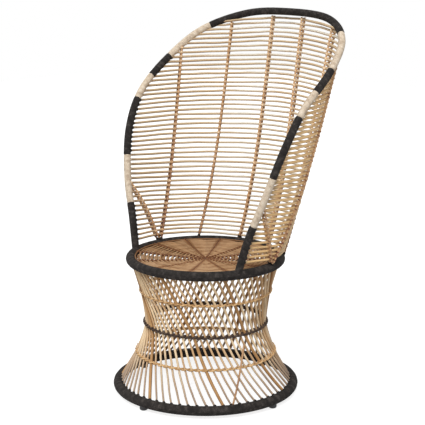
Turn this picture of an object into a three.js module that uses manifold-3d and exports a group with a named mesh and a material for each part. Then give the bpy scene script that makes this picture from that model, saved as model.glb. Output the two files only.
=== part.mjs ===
// Peacock chair in rattan: a drum base of leaning canes between two wrapped rings, a round wound seat,
// and a tall shell of level canes on upright stakes, edged by one striped hoop.
// Millimetres, +Z up, the chair faces -Y, and left and right are as seen from the front.
import * as THREE from "three";
import { mergeVertices } from "three/addons/utils/BufferGeometryUtils.js";
import Module from "manifold-3d";

const wasm = await Module();
wasm.setup();

// Driving dimensions: lengths in millimetres, angles in degrees, round the chair from the back to the left
const CLEARANCE = 0.3; // between two pieces that touch
const WALL_CLEARANCE = 0.8; // between a stake and the canes that bend round it
const BITE = 1; // how far two canes of one lashed piece sink into each other
const HALVINGS = 30; // of the searches along curves

// Rings
const SEAT_RING_RADIUS = 231.5;
const SEAT_RING_HEIGHT = 423.5;
const SEAT_RING_TUBE = 14.5;
const BASE_RING_RADIUS = 274.5;
const BASE_RING_HEIGHT = 25;
const BASE_RING_TUBE = 15;
const RING_STEPS = 36;
const RING_SIDES = 8;

// Feet
const FOOT_RADIUS = 11;
const FOOT_EDGE = 4; // bevel round the sole
const FOOT_COUNT = 4;
const FOOT_STEPS = 12;

// Drum of leaning canes under the seat
const DRUM_INSET = 2.5; // of the canes where they meet the rings
const WAIST_RADIUS = 185;
const WAIST_HEIGHT = 222.5;
const UPPER_FLARE_POWER = 1.65;
const LOWER_FLARE_POWER = 1.5;
const UPPER_TWIST = 27.5; // turn of a cane from the seat ring down to the waist
const LOWER_TWIST = 23.7; // turn from the waist down to the base ring
const LATTICE_COUNT = 64;
const POLE_EVERY = 9; // every ninth cane is a thick pole
const FIRST_POLE_ANGLE = 161; // at the waist
const LATTICE_CANE_RADIUS = 2.8;
const POLE_RADIUS = 4.2;
const NOTCH_SIDES = 4; // of the openings that a pole passes through

// Bands twined round the drum, one ply inside the canes and one outside
const UPPER_BAND_SHARE = 0.488; // of the way from the waist up to the seat ring
const LOWER_BAND_SHARE = 0.528; // and down to the base ring
const BAND_HALF_DEPTH = 2.2;
const WAIST_BAND_HALF_DEPTH = 3.5;
const BAND_WALL = 1.5; // left beside a pole that the band passes
const BAND_CLEARANCE = 0.8; // a ply runs straight past canes that lean and turn

// Seat wound on spokes, low in the middle
const SPOKE_COUNT = 12;
const SPOKE_RADIUS = 3.5;
const SPOKE_SIDES = 5;
const HUB_RADIUS = 14;
const SEAT_CANE_RADIUS = 3;
const SEAT_CANE_PITCH = 9.5;
const SEAT_RISE = 10; // top of the winding over the middle of the seat ring, at its edge
const SEAT_DIP = 11; // how far the middle of the seat lies under its edge
const SPOKE_RUNS = 3;
const SPOKE_CLEARANCE = 0.6; // under the winding, because a spoke bends only so many times

// Hoop
const HOOP_POLE_RADIUS = 8.6;
const HOOP_WRAP_RADIUS = 11.5;
const HOOP_HALF_WIDTH = 335;
const HOOP_REACH = 378.5; // from the middle of the seat back to the top of the hoop
const HOOP_TOP_HEIGHT = 1157.5;
const HOOP_FOOT_ANGLE = 113.4;
const HOOP_STEPS = 32;
const HOOP_SIDES = 8;

// Stakes of the shell: the places of their feet on the seat ring and of their tops along half the hoop
const STAKE_RADIUS = 3.2;
const STAKE_SIDES = 6;
const STAKE_RUNS = 8;
const INNER_FOOT_ANGLE = 15.1;
const MIDDLE_FOOT_ANGLE = 49;
const OUTER_FOOT_ANGLE = 82.6;
const INNER_TOP_SHARE = 0.956;
const MIDDLE_TOP_SHARE = 0.84;
const OUTER_TOP_SHARE = 0.68;
const INNER_STAKE_SETBACK = 12; // of a stake's top behind the middle of the hoop
const MIDDLE_STAKE_SETBACK = 1;
const OUTER_STAKE_SETBACK = -3;
const STAKE_BULGE = 21; // how far a stake bows back of a straight line
const BOW_SKEW = 0.5; // how much fuller that bow is low down than high up
const OUTER_STAKE_SPLAY = 8; // how far the outer stake bows sideways

// Braces from the feet of the outer stakes forward to the hoop
const BRACE_TOP_HEIGHT = 633.5;
const BRACE_RUNS = 4;
const BRACE_FOOT_GAP = 2; // between the feet of a brace and its stake

// Level canes of the shell
const ROW_COUNT = 48;
const ROW_CANE_RADIUS = 3.2;
const FIRST_ROW_BACK = 25.5; // over the middle of the seat ring, at the back
const FIRST_ROW_FRONT = 34; // and at the hoop
const LAST_ROW_BACK_DROP = 23; // under the top of the hoop
const LAST_ROW_FRONT_DROP = 41;
const CANE_SIDES = 3;
const ROW_STEP = 0.5; // between a row and the one that gives the slope of the wall there

// Half the hoop, from above its foot to its top: shares of half width, reach and height over the seat
const hoopShares = [
  [0.716, -0.208, 0.142],
  [0.839, -0.151, 0.302],
  [0.95, -0.034, 0.504],
  [0.993, 0.145, 0.655],
  [0.988, 0.475, 0.792],
  [0.858, 0.773, 0.908],
  [0.508, 0.991, 0.981],
  [0, 1, 1],
];
// Where the colour of the wrap changes along half the hoop, from the foot up
const stripeShares = [0.172, 0.308, 0.477, 0.556, 0.632, 0.778];
// Where the canes of the drum bend between the waist and the base ring
const lowerBendShares = [0.27, 0.76, 1];
// How much of a row's fall to the front it has reached at the middle and the outer stake
const MIDDLE_FALL_SHARE = 0.65;
const OUTER_FALL_SHARE = 0.95;

// Colours
const tan = new THREE.MeshStandardMaterial({ color: 0xc79a63, roughness: 0.6, metalness: 0 });
const golden = new THREE.MeshStandardMaterial({ color: 0xb07a3e, roughness: 0.55, metalness: 0 });
const charcoal = new THREE.MeshStandardMaterial({ color: 0x2f2d2e, roughness: 0.75, metalness: 0 });
const greige = new THREE.MeshStandardMaterial({ color: 0xcdbfa9, roughness: 0.8, metalness: 0 });
const black = new THREE.MeshStandardMaterial({ color: 0x161616, roughness: 0.5, metalness: 0 });

const chair = new THREE.Group();
const up = new THREE.Vector3(0, 0, 1);
const rad = THREE.MathUtils.degToRad;
const lerp = THREE.MathUtils.lerp;
const rowNumbers = Array.from({ length: ROW_COUNT }, (_, row) => row);
const sideNames = [
  ["left", 1],
  ["right", -1],
];

// A point at an angle round the chair, from the back towards the left.
function around(radius, angle, height) {
  return new THREE.Vector3(-radius * Math.sin(rad(angle)), radius * Math.cos(rad(angle)), height);
}

function mirrored(points) {
  return points.map((p) => new THREE.Vector3(-p.x, p.y, p.z));
}

// Distances from the middle of a regular section to the flat that leads it and to its far side.
function flatReach(sides, radius) {
  return radius * Math.cos(Math.PI / sides);
}

function backReach(sides, radius) {
  return sides % 2 ? radius : flatReach(sides, radius);
}

// Unit directions of travel at the points of a run, halved at its bends.
function directions(points) {
  const legs = points.slice(1).map((p, i) => p.clone().sub(points[i]).normalize());
  return points.map((_, i) => {
    const ahead = legs[Math.min(i, legs.length - 1)];
    return ahead.clone().add(legs[Math.max(i - 1, 0)]).normalize();
  });
}

// Corners of a regular section at a point of a run, its first flat turned to a facing direction.
function section(point, along, facing, sides, radius) {
  const side = facing.clone().addScaledVector(along, -facing.dot(along)).normalize();
  const across = along.clone().cross(side);
  return Array.from({ length: sides }, (_, k) => {
    const turn = ((k + 0.5) * 2 * Math.PI) / sides;
    const corner = point.clone().addScaledVector(side, radius * Math.cos(turn));
    return corner.addScaledVector(across, radius * Math.sin(turn));
  });
}

// A closed skin swept along a run of { at, facing } stops, square to the run where a stop gives no
// direction along it. With a bore it is a sleeve.
function sweep(run, sides, radius, bore = 0) {
  const bisectors = directions(run.map((stop) => stop.at));
  const along = run.map((stop, i) => stop.along ?? bisectors[i]);
  const loops = bore > 0 ? [radius, bore] : [radius];
  const corners = run.flatMap((stop, i) => {
    return loops.flatMap((r) => section(stop.at, along[i], stop.facing, sides, r));
  });
  const index = [];
  const quad = (a, b, c, d) => index.push(a, b, c, a, c, d);
  const ring = sides * loops.length;
  const last = corners.length - ring;
  for (let k = 0; k < sides; k++) {
    const next = (k + 1) % sides;
    for (let at = 0; at < last; at += ring) {
      quad(at + k, at + next, at + ring + next, at + ring + k);
      if (bore > 0) {
        quad(at + sides + k, at + ring + sides + k, at + ring + sides + next, at + sides + next);
      }
    }
    if (bore > 0) {
      quad(k, sides + k, sides + next, next);
      quad(last + k, last + next, last + sides + next, last + sides + k);
    } else if (k > 1) {
      index.push(0, k, k - 1);
      index.push(last, last + k - 1, last + k);
    }
  }
  return new THREE.BufferGeometry().setFromPoints(corners).setIndex(index);
}

// The run without its first stretch, as far as its square end comes inside the room of a neighbour.
// The room gives a point's distance from the neighbour's skin.
function clearStart(run, sides, radius, room) {
  const blocked = (stop, along) => {
    return section(stop.at, along, stop.facing, sides, radius).some((corner) => room(corner) < CLEARANCE);
  };
  for (let i = 1; i < run.length; i++) {
    const along = run[i].at.clone().sub(run[i - 1].at).normalize();
    if (!blocked(run[i], along)) {
      const between = (share) => ({
        at: run[i - 1].at.clone().lerp(run[i].at, share),
        facing: run[i - 1].facing.clone().lerp(run[i].facing, share),
      });
      const share = lastWhere((middle) => blocked(between(middle), along));
      return [between(share), ...run.slice(i)];
    }
  }
  throw new Error("a run lies inside its neighbour from end to end");
}

function clearEnd(run, sides, radius, room) {
  return clearStart([...run].reverse(), sides, radius, room).reverse();
}

function distanceToLeg(point, from, to) {
  return new THREE.Line3(from, to).closestPointToPoint(point, true, new THREE.Vector3()).distanceTo(point);
}

// The least gap from a wound cane to itself, from each point to the legs so many points further on.
function leastGap(points, apart, radius) {
  let least = Infinity;
  points.forEach((point, i) => {
    for (let k = i + apart; k + 1 < points.length; k++) {
      least = Math.min(least, distanceToLeg(point, points[k], points[k + 1]));
    }
  });
  return least - 2 * radius;
}

// The share from 0 to 1 up to which a test holds.
function lastWhere(holds) {
  let low = 0;
  let high = 1;
  for (let i = 0; i < HALVINGS; i++) {
    const middle = (low + high) / 2;
    if (holds(middle)) {
      low = middle;
    } else {
      high = middle;
    }
  }
  return high;
}

function ringRoom(radius, height, tube) {
  return (p) => Math.hypot(Math.hypot(p.x, p.y) - radius, p.z - height) - tube;
}

// A profile of [radius, height] pairs turned round the chair's axis, its first corner at an angle.
function turned(profile, steps, angle = 0) {
  const outline = profile.map(([r, z]) => new THREE.Vector2(r, z));
  return new THREE.LatheGeometry(outline, steps, Math.PI + rad(angle)).rotateX(Math.PI / 2);
}

function ringProfile(radius, height, tube) {
  return Array.from({ length: RING_SIDES + 1 }, (_, k) => {
    const turn = ((k + 0.5) * 2 * Math.PI) / RING_SIDES;
    return [radius + tube * Math.cos(turn), height + tube * Math.sin(turn)];
  });
}

// Geometry to a solid and back.
function solid(geometry) {
  const bare = geometry.clone();
  bare.deleteAttribute("normal");
  bare.deleteAttribute("uv");
  const merged = mergeVertices(bare);
  return new wasm.Manifold(
    new wasm.Mesh({
      numProp: 3,
      vertProperties: new Float32Array(merged.attributes.position.array),
      triVerts: new Uint32Array(merged.index.array),
    }),
  );
}

function joined(solids) {
  return solids.reduce((all, one) => all.add(one));
}

function addPiece(name, shape, material) {
  const made = shape.isBufferGeometry ? solid(shape) : shape;
  const mesh = made.getMesh();
  const geometry = new THREE.BufferGeometry()
    .setAttribute("position", new THREE.BufferAttribute(mesh.vertProperties, 3))
    .setIndex(new THREE.BufferAttribute(mesh.triVerts, 1));
  geometry.computeVertexNormals();
  const piece = new THREE.Mesh(geometry, material);
  piece.name = name;
  chair.add(piece);
}

// Rings, and the room that what meets them keeps
const seatRing = solid(turned(ringProfile(SEAT_RING_RADIUS, SEAT_RING_HEIGHT, SEAT_RING_TUBE), RING_STEPS));
const seatRingRoom = solid(
  turned(ringProfile(SEAT_RING_RADIUS, SEAT_RING_HEIGHT, SEAT_RING_TUBE + CLEARANCE), RING_STEPS),
);
const overSeatRing = ringRoom(SEAT_RING_RADIUS, SEAT_RING_HEIGHT, SEAT_RING_TUBE);
const overBaseRing = ringRoom(BASE_RING_RADIUS, BASE_RING_HEIGHT, BASE_RING_TUBE);
const baseRing = solid(turned(ringProfile(BASE_RING_RADIUS, BASE_RING_HEIGHT, BASE_RING_TUBE), RING_STEPS));
const baseRingRoom = solid(
  turned(ringProfile(BASE_RING_RADIUS, BASE_RING_HEIGHT, BASE_RING_TUBE + CLEARANCE), RING_STEPS),
);

addPiece("base_ring", baseRing, charcoal);
addPiece("seat_ring", seatRing, charcoal);

// Feet: short pegs under the base ring, cut to its round underside
function foot(angle) {
  const peg = new THREE.LatheGeometry(
    [
      new THREE.Vector2(0, 0),
      new THREE.Vector2(FOOT_RADIUS - FOOT_EDGE, 0),
      new THREE.Vector2(FOOT_RADIUS, FOOT_EDGE),
      new THREE.Vector2(FOOT_RADIUS, BASE_RING_HEIGHT),
      new THREE.Vector2(0, BASE_RING_HEIGHT),
    ],
    FOOT_STEPS,
  ).rotateX(Math.PI / 2);
  const place = around(BASE_RING_RADIUS, angle, 0);
  return solid(peg.translate(...place.toArray())).subtract(baseRingRoom);
}

["back", "left", "front", "right"].forEach((side, i) => {
  addPiece("foot_" + side, foot((i * 360) / FOOT_COUNT), black);
});

// Drum: radius and turn of the canes at the heights where they bend, straight in between
function drumRadius(height) {
  const rise = (height - WAIST_HEIGHT) / (SEAT_RING_HEIGHT - WAIST_HEIGHT);
  const fall = (WAIST_HEIGHT - height) / (WAIST_HEIGHT - BASE_RING_HEIGHT);
  return height > WAIST_HEIGHT
    ? lerp(WAIST_RADIUS, SEAT_RING_RADIUS - DRUM_INSET, rise ** UPPER_FLARE_POWER)
    : lerp(WAIST_RADIUS, BASE_RING_RADIUS - DRUM_INSET, Math.max(fall, 0) ** LOWER_FLARE_POWER);
}

function drumTurn(height) {
  return height > WAIST_HEIGHT
    ? (-UPPER_TWIST * (height - WAIST_HEIGHT)) / (SEAT_RING_HEIGHT - WAIST_HEIGHT)
    : (LOWER_TWIST * (WAIST_HEIGHT - height)) / (WAIST_HEIGHT - BASE_RING_HEIGHT);
}

const upperBandHeight = lerp(WAIST_HEIGHT, SEAT_RING_HEIGHT, UPPER_BAND_SHARE);
const lowerBandHeight = lerp(WAIST_HEIGHT, BASE_RING_HEIGHT, LOWER_BAND_SHARE);
const bends = [
  SEAT_RING_HEIGHT,
  upperBandHeight,
  WAIST_HEIGHT,
  lowerBandHeight,
  ...lowerBendShares.map((share) => lerp(WAIST_HEIGHT, BASE_RING_HEIGHT, share)),
].sort((a, b) => b - a);

function bentRadius(height) {
  const i = Math.max(bends.findIndex((z) => z <= height), 1);
  const share = (height - bends[i]) / (bends[i - 1] - bends[i]);
  return lerp(drumRadius(bends[i]), drumRadius(bends[i - 1]), share);
}

const latticePitch = 360 / LATTICE_COUNT;
const latticeNumbers = Array.from({ length: LATTICE_COUNT }, (_, i) => i);
const poleCount = Math.floor(LATTICE_COUNT / POLE_EVERY);
const isPole = (i) => i % POLE_EVERY === 0 && i / POLE_EVERY < poleCount;

function drumCane(number, sides, radius) {
  const start = FIRST_POLE_ANGLE + number * latticePitch;
  const run = bends.map((z) => {
    return { at: around(drumRadius(z), start + drumTurn(z), z), facing: around(1, start + drumTurn(z), 0) };
  });
  const hung = clearStart(run, sides, radius, overSeatRing);
  return solid(sweep(clearEnd(hung, sides, radius, overBaseRing), sides, radius));
}

const poleNumbers = latticeNumbers.filter(isPole);
const notchRadius = (POLE_RADIUS + CLEARANCE) / Math.cos(Math.PI / NOTCH_SIDES);
const poleRoom = joined(poleNumbers.map((i) => drumCane(i, NOTCH_SIDES, notchRadius)));

// A band's ply between two distances from the canes' middles, its chords laid on pairs of canes
function bandPly(height, halfDepth, from, to) {
  const chord = (distance, z) => {
    const fromAxis = bentRadius(z) * Math.cos(rad(latticePitch / 2)) + distance;
    return fromAxis / Math.cos(rad(latticePitch));
  };
  const top = height + halfDepth;
  const foot = height - halfDepth;
  const profile = [
    [chord(from, foot), foot],
    [chord(to, foot), foot],
    [chord(to, top), top],
    [chord(from, top), top],
    [chord(from, foot), foot],
  ];
  const corner = FIRST_POLE_ANGLE + drumTurn(height) - latticePitch / 2;
  return solid(turned(profile, LATTICE_COUNT / 2, corner)).subtract(poleRoom);
}

const plyStart = flatReach(CANE_SIDES, LATTICE_CANE_RADIUS) + BAND_CLEARANCE;
const plyBack = backReach(CANE_SIDES, LATTICE_CANE_RADIUS) + BAND_CLEARANCE;
const plyEnd = POLE_RADIUS + CLEARANCE + BAND_WALL;

const canes = latticeNumbers
  .filter((i) => !isPole(i))
  .map((i) => drumCane(i, CANE_SIDES, LATTICE_CANE_RADIUS));
const drum = joined([bandPly(lowerBandHeight, BAND_HALF_DEPTH, -plyEnd, plyEnd), ...canes]);
addPiece("base_lattice", drum, tan);

poleNumbers.forEach((i, n) => {
  addPiece("base_pole_" + (n + 1), drumCane(i, STAKE_SIDES, POLE_RADIUS), golden);
});

addPiece("waist_band_outer", bandPly(WAIST_HEIGHT, WAIST_BAND_HALF_DEPTH, plyStart, plyEnd), charcoal);
addPiece("waist_band_inner", bandPly(WAIST_HEIGHT, WAIST_BAND_HALF_DEPTH, -plyEnd, -plyBack), charcoal);
addPiece("upper_band_outer", bandPly(upperBandHeight, BAND_HALF_DEPTH, plyStart, plyEnd), golden);
addPiece("upper_band_inner", bandPly(upperBandHeight, BAND_HALF_DEPTH, -plyEnd, -plyBack), golden);

// Seat: spokes and hub, and one cane wound on them from the ring in to the hub
const edgeRise = SEAT_RISE - flatReach(CANE_SIDES, SEAT_CANE_RADIUS);
const seatEdge = SEAT_RING_RADIUS - Math.sqrt(Math.max(SEAT_RING_TUBE ** 2 - edgeRise ** 2, 0));
const windingBack = backReach(CANE_SIDES, SEAT_CANE_RADIUS);
const spokeDrop = windingBack + SPOKE_CLEARANCE + flatReach(SPOKE_SIDES, SPOKE_RADIUS);

// The middle of the winding's cane at a distance from the axis.
function windingHeight(radius) {
  return SEAT_RING_HEIGHT + edgeRise - SEAT_DIP * (1 - (radius / seatEdge) ** 2);
}

const spokes = Array.from({ length: SPOKE_COUNT }, (_, i) => {
  const run = Array.from({ length: SPOKE_RUNS + 1 }, (_, k) => {
    const radius = (k * SEAT_RING_RADIUS) / SPOKE_RUNS;
    return { at: around(radius, (i * 360) / SPOKE_COUNT, windingHeight(radius) - spokeDrop), facing: up };
  });
  return solid(sweep(run, SPOKE_SIDES, SPOKE_RADIUS));
});
const hubTop = windingHeight(0) + flatReach(CANE_SIDES, SEAT_CANE_RADIUS);
const hubFoot = windingHeight(0) - spokeDrop - SPOKE_RADIUS;
const hub = solid(
  turned(
    [
      [0, hubFoot],
      [HUB_RADIUS, hubFoot],
      [HUB_RADIUS, hubTop],
      [0, hubTop],
    ],
    SPOKE_COUNT,
  ),
);
addPiece("seat_spokes", joined([hub, ...spokes]).subtract(seatRingRoom), golden);

const windingStart = HUB_RADIUS + CLEARANCE + SEAT_CANE_RADIUS;
const windingEnd = seatEdge - CLEARANCE - SEAT_CANE_RADIUS;
const windingSteps = Math.floor(((windingEnd - windingStart) * SPOKE_COUNT) / SEAT_CANE_PITCH);
const winding = Array.from({ length: windingSteps + 1 }, (_, i) => {
  const radius = windingEnd - (i * SEAT_CANE_PITCH) / SPOKE_COUNT;
  return { at: around(radius, (-i * 360) / SPOKE_COUNT, windingHeight(radius)), facing: up };
});
addPiece("seat_winding", sweep(winding, CANE_SIDES, SEAT_CANE_RADIUS), tan);

const windingGap = leastGap(winding.map((stop) => stop.at), SPOKE_COUNT / 2, SEAT_CANE_RADIUS);
console.log("least gap between the turns of the seat: " + windingGap.toFixed(2) + " mm");

// Hoop: one pole over the seat, from foot to top and down again
const seatRise = HOOP_TOP_HEIGHT - SEAT_RING_HEIGHT;
const leftOfHoop = [
  around(SEAT_RING_RADIUS, HOOP_FOOT_ANGLE, SEAT_RING_HEIGHT),
  ...hoopShares.map(([x, y, z]) => {
    return new THREE.Vector3(-x * HOOP_HALF_WIDTH, y * HOOP_REACH, SEAT_RING_HEIGHT + z * seatRise);
  }),
];
const hoopCurve = new THREE.CatmullRomCurve3([...leftOfHoop, ...mirrored(leftOfHoop).reverse().slice(1)]);
const hoopAt = (share) => hoopCurve.getPoint(share / 2); // a share of the left half

const stripeEnds = [0, ...stripeShares, ...stripeShares.map((s) => 2 - s).reverse(), 2];
const hoopStops = [
  ...Array.from({ length: HOOP_STEPS + 1 }, (_, i) => (2 * i) / HOOP_STEPS).filter((share) => {
    return stripeEnds.every((end) => Math.abs(share - end) > 1 / HOOP_STEPS / 2);
  }),
  ...stripeEnds,
].sort((a, b) => a - b);
const hoopPoints = hoopStops.map(hoopAt);
const hoopBisectors = directions(hoopPoints);
const hoopSlope = hoopAt(1).sub(hoopAt(0));
const hoopFacing = new THREE.Vector3(0, -hoopSlope.z, hoopSlope.y).normalize();
const hoopRun = hoopPoints.map((at, i) => ({ at, facing: hoopFacing, along: hoopBisectors[i] }));
const hoopPole = solid(sweep(hoopRun, HOOP_SIDES, HOOP_POLE_RADIUS));
addPiece("hoop_pole", hoopPole.subtract(seatRingRoom), golden);

stripeEnds.slice(1).forEach((end, i) => {
  const run = hoopRun.slice(hoopStops.indexOf(stripeEnds[i]), hoopStops.indexOf(end) + 1);
  const shifted = (stop, by) => ({ ...stop, at: stop.at.clone().addScaledVector(stop.along, by) });
  run[0] = shifted(run[0], CLEARANCE / 2);
  run[run.length - 1] = shifted(run.at(-1), -CLEARANCE / 2);
  const bore = HOOP_POLE_RADIUS + CLEARANCE / Math.cos(Math.PI / HOOP_SIDES);
  const wrap = solid(sweep(run, HOOP_SIDES, HOOP_WRAP_RADIUS, bore));
  const name = "hoop_wrap_" + String(i + 1).padStart(2, "0");
  addPiece(name, wrap.subtract(seatRingRoom), i % 2 ? greige : charcoal);
});

function overHoop(p) {
  const distances = hoopRun.slice(1).map((stop, i) => distanceToLeg(p, hoopRun[i].at, stop.at));
  return Math.min(...distances) - HOOP_WRAP_RADIUS;
}

// Shell: the wall of level canes hangs on three stakes a side and on the hoop
const stakeFlat = flatReach(STAKE_SIDES, STAKE_RADIUS);
const caneFlat = flatReach(CANE_SIDES, ROW_CANE_RADIUS);
const caneBack = backReach(CANE_SIDES, ROW_CANE_RADIUS);

// The line where the canes cross a stake, from its foot to its top, with the bow between them.
function stakeLine(footAngle, topShare, setback, splay) {
  const foot = around(SEAT_RING_RADIUS, footAngle, SEAT_RING_HEIGHT);
  const top = hoopAt(topShare);
  const ahead = hoopAt(topShare + 1 / HOOP_STEPS).sub(top);
  top.addScaledVector(new THREE.Vector3(-ahead.y, ahead.x, 0).normalize(), setback);
  return (height) => {
    const share = (height - foot.z) / (top.z - foot.z);
    const bow = 4 * share * (1 - share) * (1 + BOW_SKEW * (1 - 2 * share));
    return foot.clone().lerp(top, share).add(new THREE.Vector3(-splay * bow, STAKE_BULGE * bow, 0));
  };
}

const stakes = [
  {
    name: "inner",
    line: stakeLine(INNER_FOOT_ANGLE, INNER_TOP_SHARE, INNER_STAKE_SETBACK, 0),
    top: hoopAt(INNER_TOP_SHARE).z - HOOP_WRAP_RADIUS,
    fall: 0,
  },
  {
    name: "middle",
    line: stakeLine(MIDDLE_FOOT_ANGLE, MIDDLE_TOP_SHARE, MIDDLE_STAKE_SETBACK, 0),
    top: hoopAt(MIDDLE_TOP_SHARE).z - HOOP_WRAP_RADIUS,
    fall: MIDDLE_FALL_SHARE,
  },
  {
    name: "outer",
    line: stakeLine(OUTER_FOOT_ANGLE, OUTER_TOP_SHARE, OUTER_STAKE_SETBACK, OUTER_STAKE_SPLAY),
    top: hoopAt(OUTER_TOP_SHARE).z - HOOP_WRAP_RADIUS,
    fall: OUTER_FALL_SHARE,
  },
];

// A row's height at a share of its fall to the front. Rows may be counted in parts.
function rowHeight(row, fall) {
  const share = row / (ROW_COUNT - 1);
  const hoopRise = HOOP_TOP_HEIGHT - SEAT_RING_HEIGHT;
  const back = lerp(FIRST_ROW_BACK, hoopRise - LAST_ROW_BACK_DROP, share);
  const front = lerp(FIRST_ROW_FRONT, hoopRise - LAST_ROW_FRONT_DROP, share);
  return SEAT_RING_HEIGHT + lerp(back, front, fall);
}

// The stakes that a row crosses, from the middle outwards, and the bays that they and the hoop make.
function crossed(row) {
  return stakes.filter((stake) => rowHeight(row, stake.fall) < stake.top);
}

function bayCount(row) {
  return 2 * crossed(row).length + 1;
}

// A row's curve, from the left of the hoop round the back to its right, through the stakes given.
function rowCurve(row, through) {
  const end = hoopAt(lastWhere((share) => hoopAt(share).z < rowHeight(row, 1)));
  const half = [end, ...through.map((stake) => stake.line(rowHeight(row, stake.fall))).reverse()];
  return new THREE.CatmullRomCurve3([...half, ...mirrored(half).reverse()]);
}

// A stop in the wall, so many bays along a row from the left, with the way out of the wall there.
function wallStop(row, bays) {
  const share = bays / bayCount(row);
  const curve = rowCurve(row, crossed(row));
  const at = curve.getPoint(share);
  const rise = rowCurve(row + ROW_STEP, crossed(row)).getPoint(share).sub(at);
  return { at, out: rise.cross(curve.getTangent(share)).normalize() };
}

// A stop on the leg of a row's cane between two of its bends, which come at every half bay.
function legStop(row, bays) {
  const before = wallStop(row, Math.floor(2 * bays) / 2);
  const after = wallStop(row, Math.ceil(2 * bays) / 2);
  const part = 2 * bays - Math.floor(2 * bays);
  return { at: before.at.lerp(after.at, part), out: before.out.lerp(after.out, part).normalize() };
}

// A row's cane, with two legs to a bay, drawn in at the inner stake that carries it: odd rows to the left
// one, even rows to the right.
function rowCane(row) {
  const stops = Array.from({ length: 2 * bayCount(row) + 1 }, (_, i) => wallStop(row, i / 2));
  const carried = stops[bayCount(row) + (row % 2 ? -1 : 1)];
  carried.at.addScaledVector(carried.out, -(WALL_CLEARANCE + BITE));
  const run = stops.map(({ at, out }) => ({ at, facing: out.negate() }));
  const open = clearStart(run, CANE_SIDES, ROW_CANE_RADIUS, overHoop);
  return solid(sweep(clearEnd(open, CANE_SIDES, ROW_CANE_RADIUS, overHoop), CANE_SIDES, ROW_CANE_RADIUS));
}

// A rod beside the wall, through { at, out } stops of the left side.
function rod(stops, offset, side) {
  const flip = new THREE.Vector3(side, 1, 1);
  const run = stops.map(({ at, out }) => {
    return { at: at.clone().addScaledVector(out, offset).multiply(flip), facing: out.clone().multiply(flip) };
  });
  const standing = clearStart(run, STAKE_SIDES, STAKE_RADIUS, overSeatRing);
  return solid(sweep(clearEnd(standing, STAKE_SIDES, STAKE_RADIUS, overHoop), STAKE_SIDES, STAKE_RADIUS));
}

// The stops of a stake, its number counted from the middle outwards.
function stakeStops(stake, number) {
  const lastRow = rowNumbers.findLast((row) => crossed(row).includes(stake));
  const stops = Array.from({ length: STAKE_RUNS + 1 }, (_, i) => {
    const row = (lastRow * i) / STAKE_RUNS;
    return wallStop(row, crossed(row).length - number);
  });
  return [
    { at: stake.line(SEAT_RING_HEIGHT), out: stops[0].out },
    ...stops,
    { at: stake.line(stake.top), out: stops.at(-1).out },
  ];
}

const bowSlack = (STAKE_BULGE * (1 + 3 * BOW_SKEW)) / STAKE_RUNS ** 2;
const insideWall = -(caneFlat + WALL_CLEARANCE + stakeFlat);
const outsideWall = caneBack + CLEARANCE + bowSlack + stakeFlat;
sideNames.forEach(([sideName, side], parity) => {
  const carrier = rod(stakeStops(stakes[0], 0), insideWall, side);
  const rows = rowNumbers.filter((row) => row % 2 !== parity).map(rowCane);
  addPiece("back_canes_" + sideName, joined([carrier, ...rows]), tan);
});

for (const [sideName, side] of sideNames) {
  stakes.forEach((stake, number) => {
    const stops = stakeStops(stake, number);
    if (number > 0) {
      addPiece(["stake", stake.name, "front", sideName].join("_"), rod(stops, insideWall, side), golden);
    }
    addPiece(["stake", stake.name, "rear", sideName].join("_"), rod(stops, outsideWall, side), golden);
  });
}

// Braces: from beside the foot of the outer stake, up and forward across the wall to the hoop
const braceRows = (BRACE_TOP_HEIGHT - rowHeight(0, 1)) / (rowHeight(1, 1) - rowHeight(0, 1));
const outerBay = wallStop(0, 0).at.distanceTo(wallStop(0, 1).at);
const besideStake = (2 * STAKE_RADIUS + BRACE_FOOT_GAP) / outerBay;
const braceStops = Array.from({ length: BRACE_RUNS + 1 }, (_, i) => {
  return legStop((braceRows * i) / BRACE_RUNS, lerp(1 - besideStake, 0, i / BRACE_RUNS));
});
const braceAngle = lerp(OUTER_FOOT_ANGLE, HOOP_FOOT_ANGLE, besideStake);
braceStops.unshift({ at: around(SEAT_RING_RADIUS, braceAngle, SEAT_RING_HEIGHT), out: braceStops[0].out });

for (const [sideName, side] of sideNames) {
  addPiece("brace_front_" + sideName, rod(braceStops, insideWall, side), golden);
  addPiece("brace_rear_" + sideName, rod(braceStops, outsideWall, side), golden);
}

// The chair stands with the middle of its outline over the origin
const outline = new THREE.Box3().setFromObject(chair).getCenter(new THREE.Vector3());
chair.position.set(-outline.x, -outline.y, 0);

export default chair;
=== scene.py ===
# Rattan peacock chair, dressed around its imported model. Metres, +Z up, the chair faces -Y.
import math
import random

import bpy
import numpy as np
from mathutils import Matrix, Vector


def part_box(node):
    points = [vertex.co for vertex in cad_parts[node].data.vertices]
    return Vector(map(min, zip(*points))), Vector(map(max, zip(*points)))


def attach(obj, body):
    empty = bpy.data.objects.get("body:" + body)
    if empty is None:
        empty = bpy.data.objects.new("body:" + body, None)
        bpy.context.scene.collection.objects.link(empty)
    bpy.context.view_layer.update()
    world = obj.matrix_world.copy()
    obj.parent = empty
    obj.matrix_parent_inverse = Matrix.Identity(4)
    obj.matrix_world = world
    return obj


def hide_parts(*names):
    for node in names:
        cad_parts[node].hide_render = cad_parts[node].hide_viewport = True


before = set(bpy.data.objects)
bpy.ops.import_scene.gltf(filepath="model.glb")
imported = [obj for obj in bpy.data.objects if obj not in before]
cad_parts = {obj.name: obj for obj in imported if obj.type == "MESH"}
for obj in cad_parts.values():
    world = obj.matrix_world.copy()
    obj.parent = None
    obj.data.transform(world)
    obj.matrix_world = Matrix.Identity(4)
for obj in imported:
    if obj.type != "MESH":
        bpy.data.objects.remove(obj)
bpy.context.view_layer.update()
dice = random.Random(23)

# Curves and places
up = Vector((0, 0, 1))
packedSides = 8  # of a packed ring's section, which has flats on top and below
nudge = 0.01  # share of a run, to find which way it goes


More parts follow.
